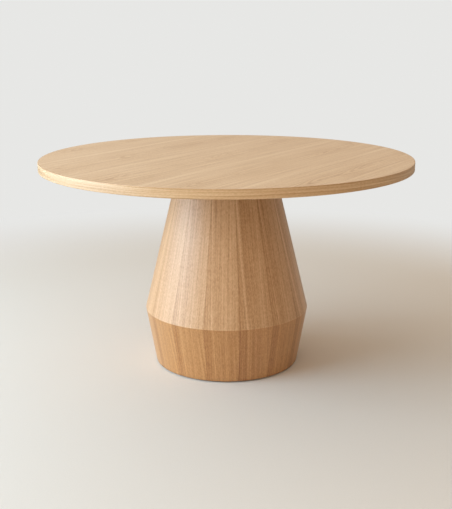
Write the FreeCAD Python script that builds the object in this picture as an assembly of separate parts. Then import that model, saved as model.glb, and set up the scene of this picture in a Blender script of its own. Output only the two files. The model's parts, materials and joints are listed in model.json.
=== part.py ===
"""Round pedestal dining table: veneered disc top on a hollow two-cone drum pedestal.

Units are millimetres, +Z is up and the floor is z = 0. The origin is on the floor under the centre of
the pedestal. The front of the table faces -Y.

The drum is coopered from flat-backed staves, a long tapered ring above the belt and a short ring
below it, and is faced with one veneer leaf per stave. Boards close its head and its base, and a
plywood ring ties the two rings of staves together at the belt. A steel plate under the top is bolted
to the head board from inside. Five levelling glides carry the table.
"""
import math
import os

import FreeCAD
import Part

Vec = FreeCAD.Vector
UP = Vec(0, 0, 1)

# ---- driving dimensions -------------------------------------------------------------------------
TABLE_HEIGHT = 745.0
TOP_RADIUS = 650.0
TOP_THICKNESS = 30.0
HEAD_RADIUS = 167.5      # drum radius where it meets the top
BELT_RADIUS = 294.0      # widest radius of the drum
BELT_HEIGHT = 202.0      # height of the belt line above the floor
BASE_RADIUS = 259.0      # drum radius at its foot
SHELL_LIFT = 5.0         # gap between the floor and the drum, made by the glides
STAVE_COUNT = 15
STAVE_DEPTH = 22.5       # drum wall, measured level, veneer included
VENEER = 0.6

# ---- top ----------------------------------------------------------------------------------------
LIPPING = 3.0
ARRIS_ABOVE = 1.5
ARRIS_BELOW = 2.0
LEAF_WIDTH = 270.0       # width of one veneer leaf on the top
LEAF_OFFSET = 105.0      # distance of one leaf joint from the centre
LEAF_ANGLE = 57.0        # direction of the grain of the top, from +X towards +Y

# ---- drum ---------------------------------------------------------------------------------------
FIRST_JOINT = 9.0        # angle of one stave joint from the front, towards +X
RECESS = 5.0             # depth of both end boards inside the staves
HEAD_BOARD = 25.0
BASE_BOARD = 25.0
BELT_RING_HEIGHT = 36.0
BELT_RING_BORE = 210.0

# ---- fixing of the top --------------------------------------------------------------------------
PLATE_RADIUS = 140.0
PLATE_SCREWS = 8
PLATE_SCREW_CIRCLE = 120.0
BOLT_COUNT = 4
BOLT_CIRCLE = 80.0
M8 = 4.0
M8_HEAD_FLATS = 13.0
M8_HEAD = 5.3
WASHER_RADIUS = 8.0
WASHER = 1.6
WOOD_SCREW = 2.2
SCREW_HEAD = 4.5
SCREW_SINK = 2.4
CROSS_LENGTH = 4.8       # cross recess in the head of a wood screw
CROSS_WIDTH = 1.1
CROSS_DEPTH = 1.4
CLEARANCE = 0.05         # radial clearance of every shaft in its hole

# ---- base ---------------------------------------------------------------------------------------
HAND_HOLE = 60.0
COVER_RADIUS = 80.0
COVER = 6.0
COVER_GAP = 0.75         # shadow gap round the cover
COVER_SCREWS = 4
COVER_SCREW_CIRCLE = 70.0
BALLAST_OUTER = 185.0
BALLAST_INNER = 85.0
BALLAST = 16.0
BALLAST_BOLTS = 5
BALLAST_BOLT_CIRCLE = 135.0

# ---- levelling glides ---------------------------------------------------------------------------
GLIDES = 5
GLIDE_CIRCLE = 205.0
FOOT_RADIUS = 18.0
FOOT_TOP_RADIUS = 15.0
FOOT = 5.0
SOCKET_RADIUS = 6.0
SOCKET_FLOOR = 2.0
COLLAR = 4.0
GAP = 0.3                # air between pieces that move past each other
INSERT_RADIUS = 8.0
INSERT_FLANGE = 11.0
FLANGE = 1.5
INSERT_LENGTH = 23.0

# ---- levels worked out from the driving dimensions ----------------------------------------------
TOP_UNDERSIDE = TABLE_HEIGHT - TOP_THICKNESS
CORE_RADIUS = TOP_RADIUS - LIPPING
CORE_BOTTOM = TOP_UNDERSIDE + VENEER
CORE_TOP = TABLE_HEIGHT - VENEER
HEAD_TOP = TOP_UNDERSIDE - RECESS
HEAD_BOTTOM = HEAD_TOP - HEAD_BOARD
BASE_BOTTOM = SHELL_LIFT + RECESS
BASE_TOP = BASE_BOTTOM + BASE_BOARD
STAVE_ANGLE = 360.0 / STAVE_COUNT
SCREW_TIP = TOP_UNDERSIDE + 20.0
BOLT_TIP = TOP_UNDERSIDE + 7.0


def at_angle(radius, degrees, z):
    """Point at a radius, an angle from the front towards +X, and a height."""
    turn = math.radians(degrees - 90.0)
    return Vec(radius * math.cos(turn), radius * math.sin(turn), z)


def rod(centre, radius, length):
    return Part.makeCylinder(radius, length, centre, UP)


def cone(centre, radius_below, radius_above, height):
    return Part.makeCone(radius_below, radius_above, height, centre, UP)


def hexagon(centre, flats, height):
    """Upright hexagonal prism, centre on its lower face."""
    corner = flats / math.sqrt(3.0)
    points = []
    for k in range(7):
        turn = math.radians(60.0 * k)
        points.append(centre + Vec(corner * math.cos(turn), corner * math.sin(turn), 0))
    return Part.Face(Part.makePolygon(points)).extrude(Vec(0, 0, height))


def ring_of(count, radius, z, first=0.0):
    """Points spaced evenly round a circle about the Z axis."""
    return [at_angle(radius, first + 360.0 * k / count, z) for k in range(count)]


def drilled(solid, tools):
    return solid.cut(Part.makeCompound(tools))


def save(name, shapes):
    """Write one node. A list of shapes becomes a group of separate solids."""
    solids = shapes if isinstance(shapes, list) else [shapes]
    solids = [part for shape in solids for part in shape.Solids]
    shape = solids[0] if len(solids) == 1 else Part.makeCompound(solids)
    valid = all(part.isValid() for part in solids)
    shape.exportStep("parts/" + name + ".step")
    print(f"{name}: {len(solids)} solid(s), {shape.Volume / 1000.0:.2f} cm3, valid {valid}")


# ---- drum geometry ------------------------------------------------------------------------------
class Cone:
    """One of the two cones of the drum, between two heights."""

    def __init__(self, z_low, radius_low, z_high, radius_high):
        self.z_low = z_low
        self.z_high = z_high
        self.radius_low = radius_low
        self.slope = (radius_high - radius_low) / (z_high - z_low)

    def radius(self, z):
        return self.radius_low + self.slope * (z - self.z_low)

    def solid(self, inset=0.0):
        """Whole cone between its two heights, its side moved in by inset."""
        low = self.radius(self.z_low) - inset
        high = self.radius(self.z_high) - inset
        return cone(Vec(0, 0, self.z_low), low, high, self.z_high - self.z_low)

    def prism(self, z_low, z_high):
        """Solid that fills the flat-sided hollow of the staves between two heights."""
        low = flat_ring(self.radius(z_low) - STAVE_DEPTH, z_low)
        high = flat_ring(self.radius(z_high) - STAVE_DEPTH, z_high)
        return between(low, high)


def flat_ring(apothem, z):
    """Corners of the stave polygon whose sides are at a distance from the axis."""
    corner = apothem / math.cos(math.radians(STAVE_ANGLE / 2.0))
    return ring_of(STAVE_COUNT, corner, z, FIRST_JOINT)


def between(low, high):
    """Solid with flat faces between two level polygons of the same shape."""
    faces = [Part.Face(Part.makePolygon(low + low[:1])), Part.Face(Part.makePolygon(high + high[:1]))]
    for k in range(len(low)):
        after = (k + 1) % len(low)
        corners = [low[k], low[after], high[after], high[k], low[k]]
        faces.append(Part.Face(Part.makePolygon(corners)))
    return Part.Solid(Part.Shell(faces))


def wedge(z_low, z_high, first_angle, last_angle):
    """Upright sector from the axis outwards, between two angles from the front."""
    reach = 2.0 * BELT_RADIUS
    corners = [Vec(0, 0, z_low), at_angle(reach, first_angle, z_low), at_angle(reach, last_angle, z_low)]
    face = Part.Face(Part.makePolygon(corners + corners[:1]))
    return face.extrude(Vec(0, 0, z_high - z_low))


UPPER = Cone(BELT_HEIGHT, BELT_RADIUS, TOP_UNDERSIDE, HEAD_RADIUS)
LOWER = Cone(SHELL_LIFT, BASE_RADIUS, BELT_HEIGHT, BELT_RADIUS)


def stave_and_leaf(band, k):
    """Stave number k of one cone, and the veneer leaf that faces it."""
    first = FIRST_JOINT + STAVE_ANGLE * (k - 1)
    sector = wedge(band.z_low, band.z_high, first, first + STAVE_ANGLE)
    hollow = band.prism(band.z_low, band.z_high)
    backing = band.solid(VENEER)
    stave = backing.cut(hollow).common(sector)
    leaf = band.solid().cut(backing).common(sector)
    return stave, leaf


def make_drum():
    for name, band in (("upper", UPPER), ("lower", LOWER)):
        leaves = []
        for k in range(STAVE_COUNT):
            stave, leaf = stave_and_leaf(band, k)
            save(f"{name}_stave_{k + 1:02d}", stave)
            leaves.append(leaf)
        save(f"{name}_drum_veneer", leaves)


def make_belt_ring():
    half = BELT_RING_HEIGHT / 2.0
    below = LOWER.prism(BELT_HEIGHT - half, BELT_HEIGHT)
    above = UPPER.prism(BELT_HEIGHT, BELT_HEIGHT + half)
    bore = rod(Vec(0, 0, BELT_HEIGHT - half), BELT_RING_BORE, BELT_RING_HEIGHT)
    save("belt_ring", below.fuse(above).removeSplitter().cut(bore))


# ---- tabletop -----------------------------------------------------------------------------------
def bolt_points(z):
    return ring_of(BOLT_COUNT, BOLT_CIRCLE, z, 45.0)


def plate_screw_points(z):
    return ring_of(PLATE_SCREWS, PLATE_SCREW_CIRCLE, z)


def fixing_holes():
    """Pilot holes of the plate screws and relief holes for the bolt tips, in the top."""
    tip_air = 1.0
    pilots = [rod(p, WOOD_SCREW + CLEARANCE, SCREW_TIP + tip_air - TOP_UNDERSIDE)
              for p in plate_screw_points(TOP_UNDERSIDE)]
    reliefs = [rod(p, M8 + CLEARANCE, BOLT_TIP + tip_air - TOP_UNDERSIDE)
               for p in bolt_points(TOP_UNDERSIDE)]
    return pilots + reliefs


def leaf_strip(near, far, z, height):
    """Long slab along the grain between two distances from the centre, measured across the grain."""
    turn = math.radians(LEAF_ANGLE)
    along = Vec(math.cos(turn), math.sin(turn), 0) * TOP_RADIUS
    across = Vec(math.sin(turn), -math.cos(turn), 0)
    corners = [across * near - along, across * near + along, across * far + along, across * far - along]
    corners = [corner + Vec(0, 0, z) for corner in corners]
    return Part.Face(Part.makePolygon(corners + corners[:1])).extrude(Vec(0, 0, height))


def make_face_veneer():
    sheet = rod(Vec(0, 0, CORE_TOP), CORE_RADIUS, VENEER)
    joints = [LEAF_OFFSET + LEAF_WIDTH * k for k in (-2, -1, 0, 1)]
    edges = [-TOP_RADIUS] + joints + [TOP_RADIUS]
    leaves = [sheet.common(leaf_strip(near, far, CORE_TOP, VENEER))
              for near, far in zip(edges, edges[1:])]
    save("tabletop_face_veneer", leaves)


def lipping_half(first_angle):
    """Half ring of edge lipping with eased arrises, from an angle anticlockwise from +X."""
    inner = CORE_RADIUS
    outer = TOP_RADIUS
    low = TOP_UNDERSIDE
    high = TABLE_HEIGHT
    bend = math.sqrt(0.5)
    below_middle = Vec(outer - ARRIS_BELOW * (1 - bend), 0, low + ARRIS_BELOW * (1 - bend))
    above_middle = Vec(outer - ARRIS_ABOVE * (1 - bend), 0, high - ARRIS_ABOVE * (1 - bend))
    lower_start = Vec(outer - ARRIS_BELOW, 0, low)
    lower_end = Vec(outer, 0, low + ARRIS_BELOW)
    upper_start = Vec(outer, 0, high - ARRIS_ABOVE)
    upper_end = Vec(outer - ARRIS_ABOVE, 0, high)
    edges = [
        Part.makeLine(Vec(inner, 0, low), lower_start),
        Part.Arc(lower_start, below_middle, lower_end).toShape(),
        Part.makeLine(lower_end, upper_start),
        Part.Arc(upper_start, above_middle, upper_end).toShape(),
        Part.makeLine(upper_end, Vec(inner, 0, high)),
        Part.makeLine(Vec(inner, 0, high), Vec(inner, 0, low)),
    ]
    profile = Part.Face(Part.Wire(edges))
    profile.rotate(Vec(0, 0, 0), UP, first_angle)
    return profile.revolve(Vec(0, 0, 0), UP, 180.0)


def make_tabletop():
    holes = fixing_holes()
    core = rod(Vec(0, 0, CORE_BOTTOM), CORE_RADIUS, CORE_TOP - CORE_BOTTOM)
    save("tabletop_core", drilled(core, holes))
    back = rod(Vec(0, 0, TOP_UNDERSIDE), CORE_RADIUS, VENEER)
    save("tabletop_back_veneer", drilled(back, holes))
    make_face_veneer()
    save("edge_lipping_front", lipping_half(180.0))
    save("edge_lipping_back", lipping_half(0.0))


# ---- fixing of the top to the drum --------------------------------------------------------------
def cross_recess(point):
    """Two crossed slots, opening downwards at the point."""
    slots = []
    for length, width in ((CROSS_LENGTH, CROSS_WIDTH), (CROSS_WIDTH, CROSS_LENGTH)):
        corner = point - Vec(length / 2.0, width / 2.0, 0)
        slots.append(Part.makeBox(length, width, CROSS_DEPTH, corner))
    return slots[0].fuse(slots[1])


def countersunk_screw(point, length):
    """Screw with its flat, cross-recessed head at the point and its tip up."""
    head = cone(point, SCREW_HEAD, WOOD_SCREW, SCREW_SINK)
    shank = rod(point + Vec(0, 0, SCREW_SINK), WOOD_SCREW, length - SCREW_SINK)
    return head.fuse(shank).cut(cross_recess(point))


def countersunk_hole(point, depth):
    """Hole for such a screw, opening downwards at the point."""
    sink = cone(point, SCREW_HEAD + CLEARANCE, WOOD_SCREW + CLEARANCE, SCREW_SINK)
    return sink.fuse(rod(point, WOOD_SCREW + CLEARANCE, depth))


def hex_bolt(seat, tip_z):
    """M8 bolt with its head under the seat and its shank up to a height."""
    head = hexagon(seat - Vec(0, 0, M8_HEAD), M8_HEAD_FLATS, M8_HEAD)
    return head.fuse(rod(seat, M8, tip_z - seat.z))


def washer(point):
    return rod(point, WASHER_RADIUS, WASHER).cut(rod(point, M8 + CLEARANCE, WASHER))


def make_fixing():
    screw_heads = plate_screw_points(HEAD_TOP)
    plate = rod(Vec(0, 0, HEAD_TOP), PLATE_RADIUS, RECESS)
    holes = [countersunk_hole(p, RECESS) for p in screw_heads]
    holes += [rod(p, M8 + CLEARANCE, RECESS) for p in bolt_points(HEAD_TOP)]
    save("mounting_plate", drilled(plate, holes))
    save("plate_screws", [countersunk_screw(p, SCREW_TIP - HEAD_TOP) for p in screw_heads])
    seats = bolt_points(HEAD_BOTTOM - WASHER)
    save("connecting_bolts", [hex_bolt(p, BOLT_TIP) for p in seats])
    save("bolt_washers", [washer(p) for p in seats])
    board = UPPER.prism(HEAD_BOTTOM, HEAD_TOP)
    save("head_board", drilled(board, [rod(p, M8 + CLEARANCE, HEAD_BOARD)
                                       for p in bolt_points(HEAD_BOTTOM)]))


# ---- base ---------------------------------------------------------------------------------------
def glide_angles():
    """A glide stands behind the middle of every third stave."""
    first = FIRST_JOINT - STAVE_ANGLE / 2.0
    return [first + 360.0 * k / GLIDES for k in range(GLIDES)]


def insert_solid(point):
    """Flanged threaded insert, its flange in the underside of the board. Threads are plain."""
    body = rod(point, INSERT_RADIUS, INSERT_LENGTH).fuse(rod(point, INSERT_FLANGE, FLANGE))
    return body.cut(rod(point, M8 + CLEARANCE, INSERT_LENGTH))


def insert_pocket(point):
    flange = rod(point, INSERT_FLANGE + CLEARANCE, FLANGE)
    return flange.fuse(rod(point, INSERT_RADIUS + CLEARANCE, BASE_BOARD))


def ballast_bolt(point):
    """M8 bolt with its head on the ballast and its shank down into the base board."""
    grip = BALLAST + BASE_BOARD - RECESS
    head = hexagon(point, M8_HEAD_FLATS, M8_HEAD)
    return head.fuse(rod(point - Vec(0, 0, grip), M8, grip))


def make_base():
    cover_screw_points = ring_of(COVER_SCREWS, COVER_SCREW_CIRCLE, BASE_BOTTOM)
    glide_points = [at_angle(GLIDE_CIRCLE, angle, BASE_BOTTOM) for angle in glide_angles()]
    screw_length = 16.0

    board = LOWER.prism(BASE_BOTTOM, BASE_TOP)
    tools = [rod(Vec(0, 0, BASE_BOTTOM), HAND_HOLE, BASE_BOARD)]
    tools += [rod(Vec(0, 0, BASE_BOTTOM), COVER_RADIUS + COVER_GAP, COVER)]
    tools += [insert_pocket(p) for p in glide_points]
    tools += [rod(p, WOOD_SCREW + CLEARANCE, screw_length + 1.0) for p in cover_screw_points]
    bolt_bottom = ring_of(BALLAST_BOLTS, BALLAST_BOLT_CIRCLE, BASE_BOTTOM + RECESS - 1.0)
    tools += [rod(p, M8 + CLEARANCE, BASE_BOARD) for p in bolt_bottom]
    save("base_board", drilled(board, tools))

    ballast = rod(Vec(0, 0, BASE_TOP), BALLAST_OUTER, BALLAST)
    bores = [rod(Vec(0, 0, BASE_TOP), BALLAST_INNER, BALLAST)]
    bores += [rod(p, M8 + CLEARANCE, BALLAST)
              for p in ring_of(BALLAST_BOLTS, BALLAST_BOLT_CIRCLE, BASE_TOP)]
    save("ballast_ring", drilled(ballast, bores))
    heads = ring_of(BALLAST_BOLTS, BALLAST_BOLT_CIRCLE, BASE_TOP + BALLAST)
    save("ballast_bolts", [ballast_bolt(p) for p in heads])

    cover = rod(Vec(0, 0, BASE_BOTTOM), COVER_RADIUS, COVER)
    save("access_cover", drilled(cover, [countersunk_hole(p, COVER) for p in cover_screw_points]))
    save("cover_screws", [countersunk_screw(p, screw_length) for p in cover_screw_points])
    save("glide_inserts", [insert_solid(p) for p in glide_points])


# ---- levelling glides ---------------------------------------------------------------------------
def glide_foot(point):
    """Nylon foot standing on the floor, with a socket for the stem's end."""
    pad = cone(point, FOOT_RADIUS, FOOT_TOP_RADIUS, FOOT)
    socket = rod(point + Vec(0, 0, SOCKET_FLOOR), SOCKET_RADIUS + CLEARANCE, FOOT)
    return pad.cut(socket)


def glide_stem(point):
    """Stem that turns in the foot: a round end, a hexagon for the spanner and an M8 shank."""
    end_z = SOCKET_FLOOR + GAP
    collar_z = FOOT + GAP
    tip_z = BASE_TOP - 1.0
    end = rod(point + Vec(0, 0, end_z), SOCKET_RADIUS, collar_z - end_z)
    collar = hexagon(point + Vec(0, 0, collar_z), M8_HEAD_FLATS, COLLAR)
    shank = rod(point + Vec(0, 0, collar_z), M8, tip_z - collar_z)
    return end.fuse(collar).fuse(shank)


def make_glides():
    for k, angle in enumerate(glide_angles(), 1):
        point = at_angle(GLIDE_CIRCLE, angle, 0.0)
        save(f"glide_foot_{k}", glide_foot(point))
        save(f"glide_stem_{k}", glide_stem(point))


os.makedirs("parts", exist_ok=True)
make_tabletop()
make_fixing()
make_drum()
make_belt_ring()
make_base()
make_glides()
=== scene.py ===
"""Looks for the round pedestal table: oak, board and metal materials, light, floor and camera.

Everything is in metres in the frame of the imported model: +Z is up and the front faces -Y. The wood
materials work from places on the object: distance round the drum from the middle of a veneer leaf, or
distance across the grain of the top, so each leaf carries its own figure.
"""
import json
import math

import bpy
from mathutils import Matrix, Vector


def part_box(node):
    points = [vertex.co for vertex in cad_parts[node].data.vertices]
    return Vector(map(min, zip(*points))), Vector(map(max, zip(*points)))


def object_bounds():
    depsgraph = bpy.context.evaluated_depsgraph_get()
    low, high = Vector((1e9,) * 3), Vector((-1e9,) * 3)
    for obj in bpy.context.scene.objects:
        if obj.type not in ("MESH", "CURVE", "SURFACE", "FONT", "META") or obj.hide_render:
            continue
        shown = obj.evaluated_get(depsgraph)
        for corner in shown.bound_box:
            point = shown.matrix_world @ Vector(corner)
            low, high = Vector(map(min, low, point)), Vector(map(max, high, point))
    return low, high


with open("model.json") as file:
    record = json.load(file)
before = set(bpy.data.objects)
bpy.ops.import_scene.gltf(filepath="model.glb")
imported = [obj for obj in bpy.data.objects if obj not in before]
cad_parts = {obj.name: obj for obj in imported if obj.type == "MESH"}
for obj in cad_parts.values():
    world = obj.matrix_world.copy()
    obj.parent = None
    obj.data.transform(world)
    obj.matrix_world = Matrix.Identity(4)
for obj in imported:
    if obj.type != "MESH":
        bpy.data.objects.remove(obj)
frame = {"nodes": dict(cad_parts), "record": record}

CAD_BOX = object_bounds()

# ---- sizes read from the frame ------------------------------------------------------------------
TOP_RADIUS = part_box("edge_lipping_back")[1].x
TABLE_HEIGHT = CAD_BOX[1].z
BELT_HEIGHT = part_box("upper_drum_veneer")[0].z
BELT_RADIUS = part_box("upper_drum_veneer")[1].x
STAVES = sum(name.startswith("upper_stave_") for name in frame["nodes"])

# ---- veneer layout, as laid in the CAD model ----------------------------------------------------
STAVE_TURN = 2.0 * math.pi / STAVES
FIRST_JOINT = math.radians(9.0)
TOP_LEAF = 0.270
TOP_LEAF_JOINT = 0.105
TOP_GRAIN = math.radians(57.0)
DRUM_LEAF = BELT_RADIUS * STAVE_TURN      # width of a drum leaf at the belt
UPPER_LEAN = 0.002                        # sideways drift of the figure per metre of height
LOWER_LEAN = 0.055
LAST_TOP_LEAF = 1.0                       # number of the outermost leaf of the top, from the joint

# ---- oak ----------------------------------------------------------------------------------------
# Shades of oak from dark to pale, as multiples of a piece's own colour.
OAK_SHADES = [
    (0.00, (0.60, 0.45, 0.31)),
    (0.30, (0.81, 0.73, 0.61)),
    (0.55, (1.00, 1.00, 1.00)),
    (0.80, (1.16, 1.25, 1.40)),
    (1.00, (1.28, 1.46, 1.76)),
]
UPPER_OAK = (0.600, 0.350, 0.169)
LOWER_OAK = (0.500, 0.243, 0.080)
TOP_OAK = (0.722, 0.505, 0.290)
LIPPING_OAK = (0.640, 0.414, 0.212)
BACK_OAK = (0.400, 0.250, 0.130)
UNLACQUERED = 0.24                        # how much rougher the bare back veneer is

# Tone of a drum leaf from its left edge to its right edge, low down on the drum and high up: a band of
# dark heartwood that fades out upwards, then striped wood that gets paler up to the next joint.
LOW_TONES = [
    (0.00, 0.39), (0.15, 0.39), (0.19, 0.42), (0.22, 0.52), (0.26, 0.57), (0.30, 0.54), (0.40, 0.53),
    (0.46, 0.59), (0.52, 0.55), (0.60, 0.60), (0.66, 0.57), (0.72, 0.60), (0.78, 0.64), (0.84, 0.59),
    (0.92, 0.62), (1.00, 0.58),
]
HIGH_TONES = [
    (0.00, 0.37), (0.04, 0.42), (0.08, 0.46), (0.13, 0.50), (0.19, 0.54), (0.22, 0.56), (0.25, 0.53),
    (0.29, 0.47), (0.33, 0.45), (0.44, 0.48), (0.52, 0.52), (0.59, 0.64), (0.65, 0.57), (0.71, 0.63),
    (0.78, 0.63), (0.82, 0.57), (1.00, 0.57),
]
LOW_STREAK = (0.245, 0.14)                # pale streak: its place across the leaf, and how pale it is
HIGH_STREAK = (0.212, 0.20)
STREAK_EDGES = (0.0008, 0.0036)           # distances from its middle between which the streak fades
JOINT_EDGES = (0.0008, 0.0036)            # the same for the dark line of a joint
JOINT_DARK = 0.20
HIGH_START = 0.65                         # share of the high figure just above the belt
HIGH_RISE = 0.28                          # height above the belt at which the figure is all high
BELT_EDGE = 0.002                         # half the height over which the figure changes at the belt
DRIFT_RANGE = (0.6, 1.4)                  # how far the lean differs from leaf to leaf
STRENGTH_RANGE = (1.0, 1.5)               # how strong a leaf's figure is
TONE_RANGE = (0.54, 0.57)                 # how pale a leaf is
MIDDLE_TONE = 0.55                        # the tone of a piece's own colour in OAK_SHADES
ARRIS_HIGHLIGHT_EDGES = (0.0006, 0.0025)            # distances from the belt between which the painted highlight along its arris fades
ARRIS_HIGHLIGHT = 0.14
FOOT_SHADE_EDGES = (0.006, 0.012)              # heights between which the painted shade at the foot of the drum fades
FOOT_SHADE = 0.16

# Tone of a leaf of the top from one joint to the next.
TOP_TONES = [
    (0.00, 0.70), (0.05, 0.68), (0.09, 0.54), (0.30, 0.57), (0.50, 0.52), (0.70, 0.56), (0.92, 0.54),
    (0.985, 0.51), (1.00, 0.60),
]
TOP_LIFT = 0.06                           # how much paler the whole top is than its tones say
TOP_RING = 0.0060                         # spacing of the growth rings in the crown of a leaf
HEART_RISE = 0.055                        # how fast the heart of the tree rises along a leaf
EARLY_DARK = 0.26                         # depth of the porous early wood of a ring
LIPPING_TONES = (0.34, 0.80)              # darkest and palest streak of the lipping
LIPPING_ARRIS = (0.0010, 0.06)            # width of its pale upper arris, and how pale it is
BACK_TONES = (0.44, 0.64)

# Noise patterns: scale per metre across and along the grain, and detail.
BROAD_STREAKS = (110.0, 0.9, 2.0)
FINE_STREAKS = (240.0, 3.0, 3.0)
PORES = (1500.0, 55.0, 1.0)
CLOUDS = (300.0, 130.0, 2.0)
RING_WAVER = (45.0, 7.0, 2.0)
CROWN_PATCHES = (9.0, 5.0, 1.0)
LIPPING_RINGS = (150.0, 0.5, 3.0)
BACK_RINGS = (40.0, 0.7, 3.0)
BROAD_SHARE = 0.6                         # strength of each kind of streak in the finish
FINE_SHARE = 2.6
WOOD_BUMP = 0.00008                       # depth of the pores under the lacquer
BARE_BUMP = 0.00010                       # the same on bare wood and board


class Shader:
    """One node material. Every input takes either a value or the output of another node."""

    def __init__(self, name, **surface):
        self.material = bpy.data.materials.new(name)
        self.material.use_nodes = True
        self.tree = self.material.node_tree
        self.surface = self.tree.nodes["Principled BSDF"]
        for socket, value in surface.items():
            self.feed(self.surface.inputs[socket.replace("_", " ")], value)

    def feed(self, socket, value):
        if isinstance(value, bpy.types.NodeSocket):
            self.tree.links.new(value, socket)
        else:
            socket.default_value = value

    def node(self, kind, **settings):
        made = self.tree.nodes.new(kind)
        for name, value in settings.items():
            setattr(made, name, value)
        return made

    def calc(self, operation, first, second=0.0):
        made = self.node("ShaderNodeMath", operation=operation)
        for socket, value in zip(made.inputs, (first, second)):
            self.feed(socket, value)
        return made.outputs[0]

    def add(self, first, second):
        return self.calc("ADD", first, second)

    def take(self, first, second):
        return self.calc("SUBTRACT", first, second)

    def times(self, first, second):
        return self.calc("MULTIPLY", first, second)

    def distance(self, first, second):
        """Length of the hypotenuse over two lengths at right angles."""
        return self.calc("SQRT", self.add(self.times(first, first), self.times(second, second)))

    def place(self):
        """x, y and z on the object, in metres."""
        coordinates = self.node("ShaderNodeTexCoord")
        parts = self.node("ShaderNodeSeparateXYZ")
        self.feed(parts.inputs[0], coordinates.outputs["Object"])
        return parts.outputs

    def point(self, x, y, z=0.0):
        made = self.node("ShaderNodeCombineXYZ")
        for socket, value in zip(made.inputs, (x, y, z)):
            self.feed(socket, value)
        return made.outputs[0]

    def noise(self, point, scale=1.0, detail=2.0, roughness=0.5):
        """Soft noise from 0 to 1, about 0.5 on average."""
        made = self.node("ShaderNodeTexNoise")
        self.feed(made.inputs["Vector"], point)
        self.feed(made.inputs["Scale"], scale)
        self.feed(made.inputs["Detail"], detail)
        self.feed(made.inputs["Roughness"], roughness)
        return made.outputs["Fac"]

    def grain(self, across, along, seed, pattern):
        """Noise drawn out along the grain. pattern: scale per metre across and along, and detail."""
        per_across, per_along, detail = pattern
        where = self.point(self.times(across, per_across), self.times(along, per_along), seed)
        return self.noise(where, detail=detail)

    def chance(self, value):
        """A fixed random number from 0 to 1 for each whole number."""
        made = self.node("ShaderNodeTexWhiteNoise", noise_dimensions="1D")
        self.feed(made.inputs["W"], value)
        return made.outputs["Value"]

    def spread(self, value, low, high, to_low=0.0, to_high=1.0, smooth=False):
        """Maps low..high onto to_low..to_high and holds the ends."""
        made = self.node("ShaderNodeMapRange", interpolation_type="SMOOTHSTEP" if smooth else "LINEAR")
        for socket, number in zip(made.inputs, (value, low, high, to_low, to_high)):
            self.feed(socket, number)
        return made.outputs[0]

    def fade(self, value, low, high, start, end=0.0):
        """Goes smoothly from start, at low and below, to end, at high and above."""
        return self.spread(value, low, high, start, end, smooth=True)

    def ramp(self, value, stops):
        """Colour or grey from a list of (place, colour or grey)."""
        made = self.node("ShaderNodeValToRGB")
        elements = made.color_ramp.elements
        while len(elements) < len(stops):
            elements.new(0.5)
        for element, (position, tone) in zip(elements, stops):
            element.position = position
            element.color = (*tone, 1.0) if isinstance(tone, tuple) else (tone, tone, tone, 1.0)
        self.feed(made.inputs[0], value)
        return made.outputs[0]

    def mix(self, share, first, second, way="MIX"):
        made = self.node("ShaderNodeMix", data_type="RGBA", blend_type=way)
        for index, value in ((0, share), (6, first), (7, second)):
            if isinstance(value, tuple):
                value = (*value, 1.0)
            self.feed(made.inputs[index], value)
        return made.outputs[2]

    def finish(self, colour, rough, height, depth):
        """Joins colour, roughness and height, in units of depth metres, to the surface."""
        bump = self.node("ShaderNodeBump")
        self.feed(bump.inputs["Strength"], 1.0)
        self.feed(bump.inputs["Distance"], depth)
        self.feed(bump.inputs["Height"], height)
        self.feed(self.surface.inputs["Base Color"], colour)
        self.feed(self.surface.inputs["Roughness"], rough)
        self.feed(self.surface.inputs["Normal"], bump.outputs[0])
        return self.material


# ---- wood ---------------------------------------------------------------------------------------
def oak_finish(shader, oak, tone, across, along, seed, fleck=0.16, streak=0.08, mottle=0.18):
    """Turns a tone from 0 dark to 1 pale into oak, with streaks, clouds and pores along the grain.

    oak is the colour at MIDDLE_TONE. across and along are metres across and along the grain. seed moves
    the pattern. fleck, streak and mottle are the strengths of the pores, streaks and clouds. Gives the
    colour, roughness and height of the surface.
    """
    fine = shader.grain(across, along, seed, FINE_STREAKS)
    pores = shader.fade(shader.grain(across, along, seed, PORES), 0.56, 0.70, 0.0, 1.0)
    for noise, strength in ((shader.grain(across, along, seed, BROAD_STREAKS), BROAD_SHARE * streak),
                            (fine, FINE_SHARE * streak),
                            (shader.grain(across, along, seed, CLOUDS), mottle)):
        tone = shader.add(tone, shader.spread(noise, 0.3, 0.7, -strength, strength))
    tone = shader.take(tone, shader.times(pores, fleck))
    shades = [(place, tuple(part * share for part, share in zip(oak, shade)))
              for place, shade in OAK_SHADES]
    colour = shader.ramp(tone, shades)
    rough = shader.spread(fine, 0.3, 0.7, 0.40, 0.52)
    height = shader.take(shader.times(fine, 0.35), pores)
    return colour, rough, height


def lacquered(name):
    """A shader with a thin satin lacquer over it."""
    return Shader(name, Coat_Weight=0.8, Coat_Roughness=0.46, Coat_IOR=1.5)


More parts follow.
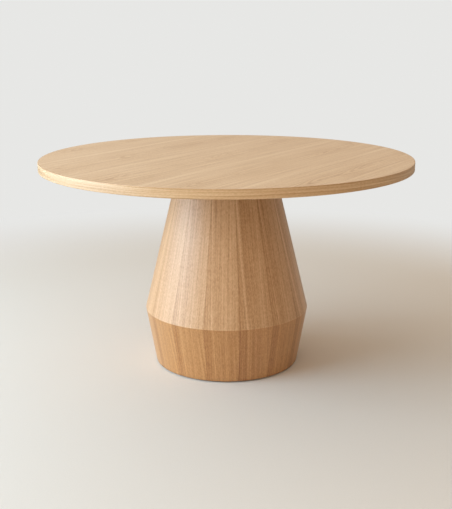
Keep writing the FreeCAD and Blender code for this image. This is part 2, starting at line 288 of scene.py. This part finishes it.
def drum_veneer():
    """Slip-matched leaves round the drum: every leaf repeats one figure, a little changed."""
    shader = lacquered("oak_drum_veneer")
    x, y, z = shader.place()
    turn = shader.calc("ARCTAN2", x, shader.times(y, -1.0))
    radius = shader.distance(x, y)
    count = shader.times(shader.take(turn, FIRST_JOINT), 1.0 / STAVE_TURN)
    leaf = shader.calc("FLOOR", count)
    middle = shader.take(shader.take(count, leaf), 0.5)
    across = shader.times(shader.times(middle, STAVE_TURN), radius)
    luck = shader.chance(leaf)
    # The figure runs nearly straight up the upper drum, and drifts to the right down the lower one.
    rise = shader.take(z, BELT_HEIGHT)
    drift = shader.add(shader.times(shader.calc("MAXIMUM", rise, 0.0), UPPER_LEAN),
                       shader.times(shader.calc("MINIMUM", rise, 0.0), LOWER_LEAN))
    drift = shader.times(drift, shader.spread(luck, 0.0, 1.0, *DRIFT_RANGE))
    figure = shader.add(across, drift)
    share = shader.add(shader.times(figure, 1.0 / DRUM_LEAF), 0.5)
    low = shader.ramp(share, LOW_TONES)
    high = shader.ramp(share, HIGH_TONES)
    above = shader.spread(rise, -BELT_EDGE, BELT_EDGE)
    climb = shader.add(shader.times(above, HIGH_START),
                       shader.spread(rise, 0.0, HIGH_RISE, 0.0, 1.0 - HIGH_START))
    tone = shader.add(low, shader.times(shader.take(high, low), climb))
    place, pale = (shader.add(first, shader.times(above, second - first))
                   for first, second in zip(LOW_STREAK, HIGH_STREAK))
    from_streak = shader.calc("ABSOLUTE", shader.times(shader.take(share, place), DRUM_LEAF))
    tone = shader.add(tone, shader.times(shader.fade(from_streak, *STREAK_EDGES, 1.0), pale))
    edge = shader.take(0.5, shader.calc("ABSOLUTE", middle))
    from_joint = shader.times(shader.times(edge, STAVE_TURN), radius)
    tone = shader.take(tone, shader.fade(from_joint, *JOINT_EDGES, JOINT_DARK))
    strength = shader.spread(luck, 0.0, 1.0, *STRENGTH_RANGE)
    tone = shader.add(shader.times(shader.take(tone, MIDDLE_TONE), strength),
                      shader.spread(luck, 0.0, 1.0, *TONE_RANGE))
    # A painted highlight lies along the arris of the belt, and a painted shade along the foot of the
    # drum.
    from_belt = shader.calc("ABSOLUTE", rise)
    # Painted highlight: the arris of the belt is made paler.
    tone = shader.add(tone, shader.fade(from_belt, *ARRIS_HIGHLIGHT_EDGES, ARRIS_HIGHLIGHT))
    # Painted shade: the foot of the drum is made darker just above the floor.
    tone = shader.take(tone, shader.fade(z, *FOOT_SHADE_EDGES, FOOT_SHADE))
    seed = shader.times(luck, 3.0)
    colour, rough, height = oak_finish(shader, UPPER_OAK, tone, figure, z, seed)
    below = shader.calc("LESS_THAN", z, BELT_HEIGHT)
    deeper = tuple(part / whole for part, whole in zip(LOWER_OAK, UPPER_OAK))
    colour = shader.mix(below, colour, shader.mix(1.0, colour, deeper, way="MULTIPLY"))
    return shader.finish(colour, rough, height, WOOD_BUMP)


def top_veneer():
    """Crown-cut leaves across the top.

    Each has arched growth rings along its middle, straight grain beside them and a pale streak at the
    joint.
    """
    shader = lacquered("oak_top_veneer")
    x, y, z = shader.place()
    sine = math.sin(TOP_GRAIN)
    cosine = math.cos(TOP_GRAIN)
    across = shader.take(shader.times(x, sine), shader.times(y, cosine))
    along = shader.add(shader.times(x, cosine), shader.times(y, sine))
    count = shader.times(shader.take(across, TOP_LEAF_JOINT), 1.0 / TOP_LEAF)
    # The last leaf runs on to the rim.
    leaf = shader.calc("MINIMUM", shader.calc("FLOOR", count), LAST_TOP_LEAF)
    luck = shader.chance(leaf)
    part = shader.take(count, leaf)
    seed = shader.times(leaf, 5.3)
    wander = shader.noise(shader.point(shader.times(along, 2.5), leaf, 0.0), detail=1.0)
    bend = shader.spread(wander, 0.2, 0.8, -0.07, 0.07)
    tone = shader.ramp(shader.add(part, shader.times(bend, 0.3)), TOP_TONES)
    # Growth rings: circles about a heart that lies a few centimetres under the leaf and rises along it.
    offset = shader.times(shader.add(shader.take(part, 0.5), bend), TOP_LEAF)
    heart = shader.add(shader.times(along, HEART_RISE), shader.spread(luck, 0.0, 1.0, -0.03, 0.03))
    heart = shader.add(heart, shader.spread(wander, 0.2, 0.8, -0.012, 0.012))
    waver = shader.grain(across, along, seed, RING_WAVER)
    reach = shader.add(shader.distance(offset, heart), shader.spread(waver, 0.2, 0.8, -0.0016, 0.0016))
    ring = shader.calc("FRACT", shader.times(reach, 1.0 / TOP_RING))
    from_middle = shader.calc("ABSOLUTE", shader.take(ring, 0.5))
    early = shader.fade(from_middle, 0.08, 0.34, EARLY_DARK)
    # The rings show in the crown of a leaf, and there in patches.
    patch = shader.grain(across, along, seed, CROWN_PATCHES)
    crown = shader.times(shader.fade(shader.calc("ABSOLUTE", offset), 0.02, 0.09, 1.0, 0.15),
                         shader.fade(patch, 0.42, 0.62, 0.25, 1.0))
    tone = shader.add(shader.take(tone, shader.times(early, crown)), TOP_LIFT)
    oak = oak_finish(shader, TOP_OAK, tone, across, along, seed, fleck=0.12, streak=0.09, mottle=0.12)
    return shader.finish(*oak, WOOD_BUMP)


def edge_lipping():
    """Bent strip of oak round the edge: the grain runs round the rim."""
    shader = lacquered("oak_lipping")
    x, y, z = shader.place()
    turn = shader.calc("ARCTAN2", x, shader.times(y, -1.0))
    along = shader.times(turn, TOP_RADIUS)
    wander = shader.noise(shader.point(shader.times(along, 2.0), 0.0, 0.0), detail=1.0)
    across = shader.add(z, shader.spread(wander, 0.2, 0.8, -0.007, 0.007))
    rings = shader.grain(across, along, 0.0, LIPPING_RINGS)
    tone = shader.spread(rings, 0.32, 0.68, *LIPPING_TONES)
    from_top = shader.take(TABLE_HEIGHT, z)
    tone = shader.add(tone, shader.fade(from_top, 0.0, *LIPPING_ARRIS))
    oak = oak_finish(shader, LIPPING_OAK, tone, across, along, 2.0, mottle=0.10)
    return shader.finish(*oak, WOOD_BUMP)


def back_veneer():
    """Plain bare veneer under the top, with straight grain from front to back."""
    shader = Shader("oak_back_veneer")
    x, y, z = shader.place()
    rings = shader.grain(x, y, 0.0, BACK_RINGS)
    tone = shader.spread(rings, 0.3, 0.7, *BACK_TONES)
    colour, rough, height = oak_finish(shader, BACK_OAK, tone, x, y, 1.0)
    return shader.finish(colour, shader.add(rough, UNLACQUERED), height, BARE_BUMP)


# ---- boards -------------------------------------------------------------------------------------
def fibreboard():
    """Pressed fibre: short pale and dark specks on a tan ground."""
    shader = Shader("mdf")
    x, y, z = shader.place()
    where = shader.point(x, y, z)
    speck = shader.noise(where, scale=1400.0, detail=3.0, roughness=0.7)
    cloud = shader.noise(where, scale=35.0, detail=2.0)
    tone = shader.add(shader.times(speck, 0.7), shader.times(cloud, 0.3))
    colour = shader.ramp(tone, [(0.30, (0.230, 0.150, 0.085)), (0.50, (0.400, 0.285, 0.180)),
                                (0.70, (0.520, 0.390, 0.265))])
    return shader.finish(colour, shader.spread(speck, 0.3, 0.7, 0.72, 0.90), speck, BARE_BUMP)


def plywood():
    """Birch plywood: plies show on its edges as thin layers, and its faces show long grain."""
    ply = 0.0014
    shader = Shader("plywood")
    x, y, z = shader.place()
    layer = shader.calc("FLOOR", shader.times(z, 1.0 / ply))
    band = shader.calc("PINGPONG", layer, 1.0)
    grain = shader.grain(x, y, shader.times(layer, 7.0), (160.0, 3.0, 4.0))
    tone = shader.add(shader.times(grain, 0.7), shader.times(band, 0.15))
    colour = shader.ramp(tone, [(0.20, (0.380, 0.250, 0.130)), (0.42, (0.600, 0.440, 0.270)),
                                (0.62, (0.700, 0.545, 0.365))])
    return shader.finish(colour, shader.spread(grain, 0.3, 0.7, 0.50, 0.66), grain, depth=0.00012)


# ---- metal and plastic --------------------------------------------------------------------------
def powder_coat(name, colour, grit):
    """Painted metal with an orange-peel skin."""
    shader = Shader(name)
    x, y, z = shader.place()
    where = shader.point(x, y, z)
    peel = shader.noise(where, scale=grit, detail=2.0)
    cloud = shader.noise(where, scale=22.0, detail=2.0)
    dark = tuple(0.7 * part for part in colour)
    return shader.finish(shader.mix(cloud, dark, colour), shader.spread(cloud, 0.3, 0.7, 0.42, 0.60),
                         peel, depth=0.00006)


def zinc_plate():
    """Bright zinc on steel, with faint drawn lines and cloudy patches."""
    shader = Shader("zinc_steel", Metallic=1.0)
    x, y, z = shader.place()
    lines = shader.grain(x, y, shader.times(z, 2600.0), (200.0, 200.0, 2.0))
    cloud = shader.noise(shader.point(x, y, z), scale=140.0, detail=3.0)
    colour = shader.ramp(cloud, [(0.30, (0.46, 0.45, 0.42)), (0.55, (0.60, 0.60, 0.58)),
                                 (0.75, (0.68, 0.69, 0.70))])
    return shader.finish(colour, shader.spread(cloud, 0.3, 0.7, 0.24, 0.42), lines, depth=0.00002)


def nylon():
    """Black moulded nylon with a fine eroded texture and scuffs."""
    shader = Shader("nylon")
    x, y, z = shader.place()
    where = shader.point(x, y, z)
    grain = shader.noise(where, scale=2600.0, detail=2.0)
    scuff = shader.noise(where, scale=160.0, detail=4.0)
    colour = shader.ramp(scuff, [(0.35, (0.018, 0.018, 0.019)), (0.70, (0.060, 0.058, 0.055))])
    return shader.finish(colour, shader.spread(scuff, 0.3, 0.7, 0.48, 0.66), grain, depth=0.00005)


MATERIALS = {
    "oak_top_veneer": top_veneer(),
    "oak_back_veneer": back_veneer(),
    "oak_lipping": edge_lipping(),
    "oak_drum_veneer": drum_veneer(),
    "mdf": fibreboard(),
    "plywood": plywood(),
    "black_steel": powder_coat("black_steel", (0.030, 0.030, 0.032), 1800.0),
    "ballast_iron": powder_coat("ballast_iron", (0.085, 0.085, 0.090), 700.0),
    "zinc_steel": zinc_plate(),
    "nylon": nylon(),
}


def dress_nodes():
    """Gives every CAD node the material of its slot in the record."""
    for part in frame["record"]["subparts"]:
        mesh = frame["nodes"][part["node"]].data
        mesh.materials.clear()
        mesh.materials.append(MATERIALS[part["material_slot"]])


# ---- floor, light and camera --------------------------------------------------------------------
BACKDROP = (0.80, 0.80, 0.785)
BACKDROP_EDGES = (1.4, 2.8)               # distances from the table between which the floor becomes it
FAR_FLOOR_DIM = 0.25                      # light that the far floor doesn't throw back
FAR_FLOOR_EDGES = (1.1, 2.4)
FLOOR_SIZE = 40.0
FLOOR_SHADES = ((0.765, 0.755, 0.718), (0.815, 0.805, 0.768))


def make_floor():
    """Pale floor that turns into an evenly lit backdrop some way behind and around the table."""
    shader = Shader("pale_floor", Specular_IOR_Level=0.0)
    x, y, z = shader.place()
    grain = shader.noise(shader.point(x, y, 0.0), scale=240.0, detail=3.0)
    colour = shader.mix(grain, *FLOOR_SHADES)
    reach = shader.distance(x, y)
    seen = shader.node("ShaderNodeLightPath").outputs["Is Camera Ray"]
    far = shader.times(shader.fade(reach, *BACKDROP_EDGES, 0.0, 1.0), seen)
    shader.feed(shader.surface.inputs["Emission Color"], (*BACKDROP, 1.0))
    shader.feed(shader.surface.inputs["Emission Strength"], far)
    # The far floor throws back less light than the near floor, as a darker floor round a pale rug does.
    dim = shader.times(shader.fade(reach, *FAR_FLOOR_EDGES, 0.0, FAR_FLOOR_DIM), shader.take(1.0, seen))
    colour = shader.mix(shader.add(far, dim), colour, (0.0, 0.0, 0.0))
    material = shader.finish(colour, 0.9, grain, depth=0.0004)
    bpy.ops.mesh.primitive_circle_add(vertices=96, radius=FLOOR_SIZE, fill_type="NGON")
    floor = bpy.context.object
    floor.name = "floor"
    floor.data.materials.append(material)


def soft_light(name, place, target_height, size, power, colour):
    """Rectangular soft box at a place, facing a height on the axis of the table."""
    lamp = bpy.data.lights.new(name, "AREA")
    lamp.shape = "RECTANGLE"
    lamp.size, lamp.size_y = size
    lamp.energy = power
    lamp.color = colour
    box = bpy.data.objects.new(name, lamp)
    bpy.context.scene.collection.objects.link(box)
    box.location = place
    aim = Vector((0.0, 0.0, target_height)) - Vector(place)
    box.rotation_euler = aim.to_track_quat("-Z", "Y").to_euler()
    box.visible_camera = False


DAYLIGHT = (0.74, 1.05, 1.30)
WARM = (1.17, 0.97, 0.78)
LAMPLIGHT = (1.30, 0.94, 0.66)
WIDE = (2.4, 2.0)
SMALL = (2.0, 1.6)
# Name, place, height on the table that it faces, size, watts and colour.
LIGHTS = [
    ("window", (-3.6, -1.5, 1.3), 0.4, WIDE, 67.0, DAYLIGHT),
    ("side_window", (-3.9, 0.34, 1.3), 0.4, WIDE, 39.0, DAYLIGHT),
    ("high_window", (-3.0, -1.7, 2.9), 0.4, WIDE, 35.0, DAYLIGHT),
    ("side_fill", (3.2, -1.6, 2.8), 0.6, SMALL, 5.0, LAMPLIGHT),
    ("front_fill", (-0.4, -4.2, 1.8), 0.4, WIDE, 19.0, LAMPLIGHT),
]
ROOM_GLOW = 0.23                          # strength of the glow from the right and the front
LEFT_GLOW = 0.90                          # how much stronger it is from the left
BACK_GLOW = 0.36                          # and from the back


def make_light():
    """Soft boxes, a room glow that is stronger from the left and the back, and a pale backdrop."""
    for row in LIGHTS:
        soft_light(*row)
    world = bpy.data.worlds.new("studio")
    world.use_nodes = True
    tree = world.node_tree

    def node(kind, *values, **settings):
        made = tree.nodes.new(kind)
        for name, value in settings.items():
            setattr(made, name, value)
        for socket, value in zip(made.inputs, values):
            if isinstance(value, bpy.types.NodeSocket):
                tree.links.new(value, socket)
            else:
                socket.default_value = value
        return made

    way = node("ShaderNodeSeparateXYZ", node("ShaderNodeTexCoord").outputs["Generated"])
    left = node("ShaderNodeMapRange", way.outputs[0], 0.2, -1.0, ROOM_GLOW, ROOM_GLOW + LEFT_GLOW,
                interpolation_type="SMOOTHSTEP")
    back = node("ShaderNodeMapRange", way.outputs[1], -0.2, 1.0, 0.0, BACK_GLOW,
                interpolation_type="SMOOTHSTEP")
    strength = node("ShaderNodeMath", left.outputs[0], back.outputs[0], operation="ADD")
    glow = node("ShaderNodeBackground", (*WARM, 1.0), strength.outputs[0])
    backdrop = node("ShaderNodeBackground", (*BACKDROP, 1.0), 1.0)
    seen = node("ShaderNodeLightPath").outputs["Is Camera Ray"]
    either = node("ShaderNodeMixShader", seen, glow.outputs[0], backdrop.outputs[0])
    tree.links.new(either.outputs[0], tree.nodes["World Output"].inputs[0])
    bpy.context.scene.world = world
    bpy.context.scene.view_settings.view_transform = "Standard"


def make_camera():
    """Camera at standing eye level in front, looking a little down at the table."""
    place = Vector((0.0061, -3.0245, 1.1709))
    pan = math.radians(0.152)
    tilt_down = math.radians(14.493)
    roll = math.radians(-0.135)
    data = bpy.data.cameras.new("camera")
    data.lens = 61.07
    data.sensor_width = 36.0
    camera = bpy.data.objects.new("camera", data)
    bpy.context.scene.collection.objects.link(camera)
    turn = (Matrix.Rotation(pan, 4, "Z") @ Matrix.Rotation(math.pi / 2.0 - tilt_down, 4, "X")
            @ Matrix.Rotation(roll, 4, "Z"))
    camera.matrix_world = Matrix.Translation(place) @ turn
    bpy.context.scene.camera = camera


dress_nodes()
make_floor()
make_light()
make_camera()
